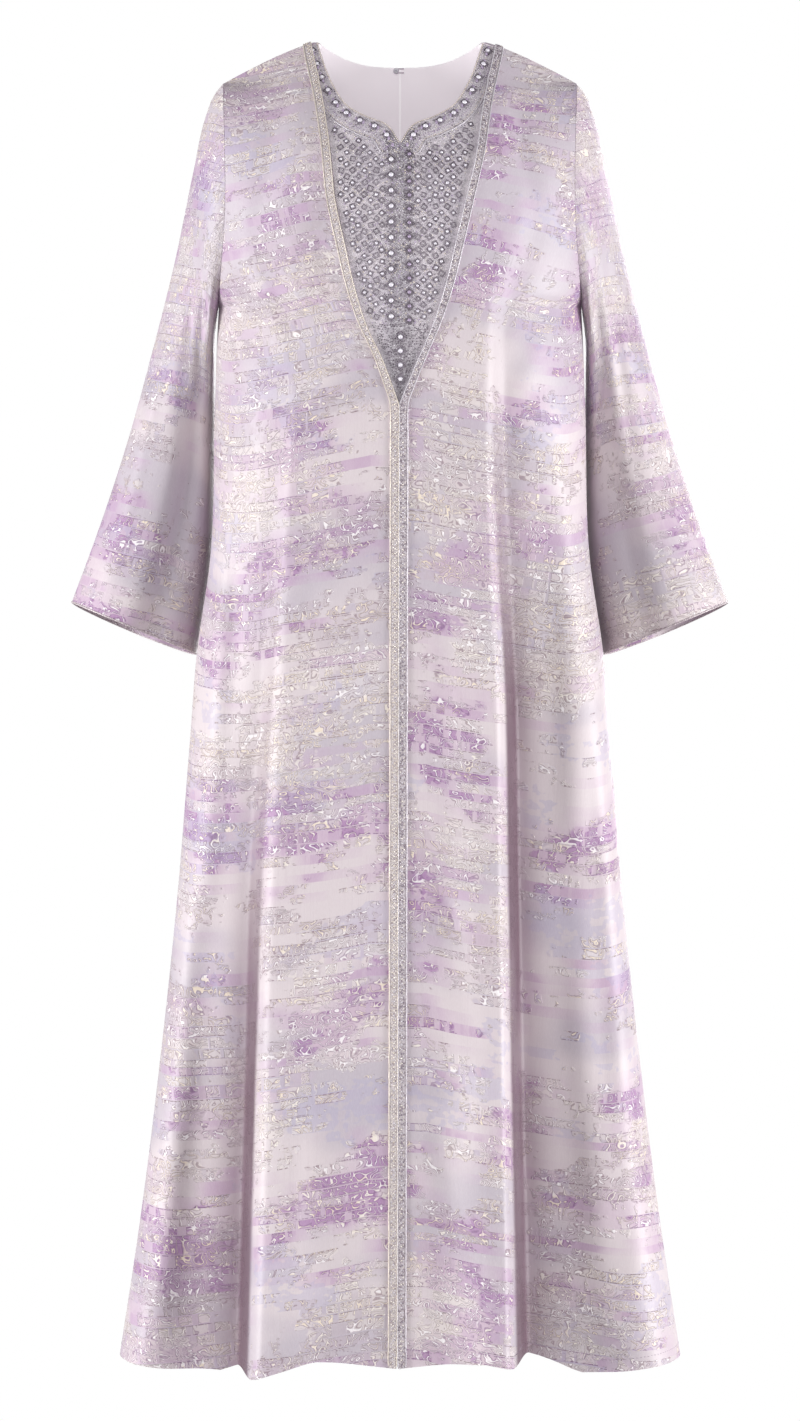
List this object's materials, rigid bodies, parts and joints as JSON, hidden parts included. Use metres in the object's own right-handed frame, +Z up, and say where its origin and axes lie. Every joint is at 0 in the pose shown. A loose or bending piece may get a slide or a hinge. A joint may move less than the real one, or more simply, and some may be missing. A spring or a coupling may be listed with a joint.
{
  "type": "kaftan",
  "caption": "Full-length brocade kaftan, hollow as if worn, with flared sleeves, a deep V front over a beaded yoke and a braided centre front.",
  "frame": {"origin": "midway between the two high shoulder points, where the wearer's shoulders hold the garment", "axes": "+Z up, -Y to the garment's front, +X to the wearer's left"},
  "size_m": [0.725, 0.4087, 1.4469],
  "materials": {
    "brocade": "satin jacquard in pale mauve with purple, taupe, cream and white broken brush strokes",
    "lining_satin": "plain pale lilac satin",
    "yoke_cloth": "silver-grey and lilac cloth covered in small beads and crystals",
    "braid_beads": "silver and pale gold metallic bead braid",
    "crystal": "clear faceted crystal",
    "loop_thread": "lilac thread"
  },
  "bodies": {
    "root": {"front_left": "brocade", "front_right": "brocade", "back_left": "brocade", "back_right": "brocade", "sleeve_left": "brocade", "sleeve_right": "brocade", "lining_left": "lining_satin", "lining_right": "lining_satin", "yoke": "yoke_cloth", "braid_left": "braid_beads", "braid_right": "braid_beads", "neck_button": "crystal", "neck_loop": "loop_thread"}
  },
  "joints": []
}
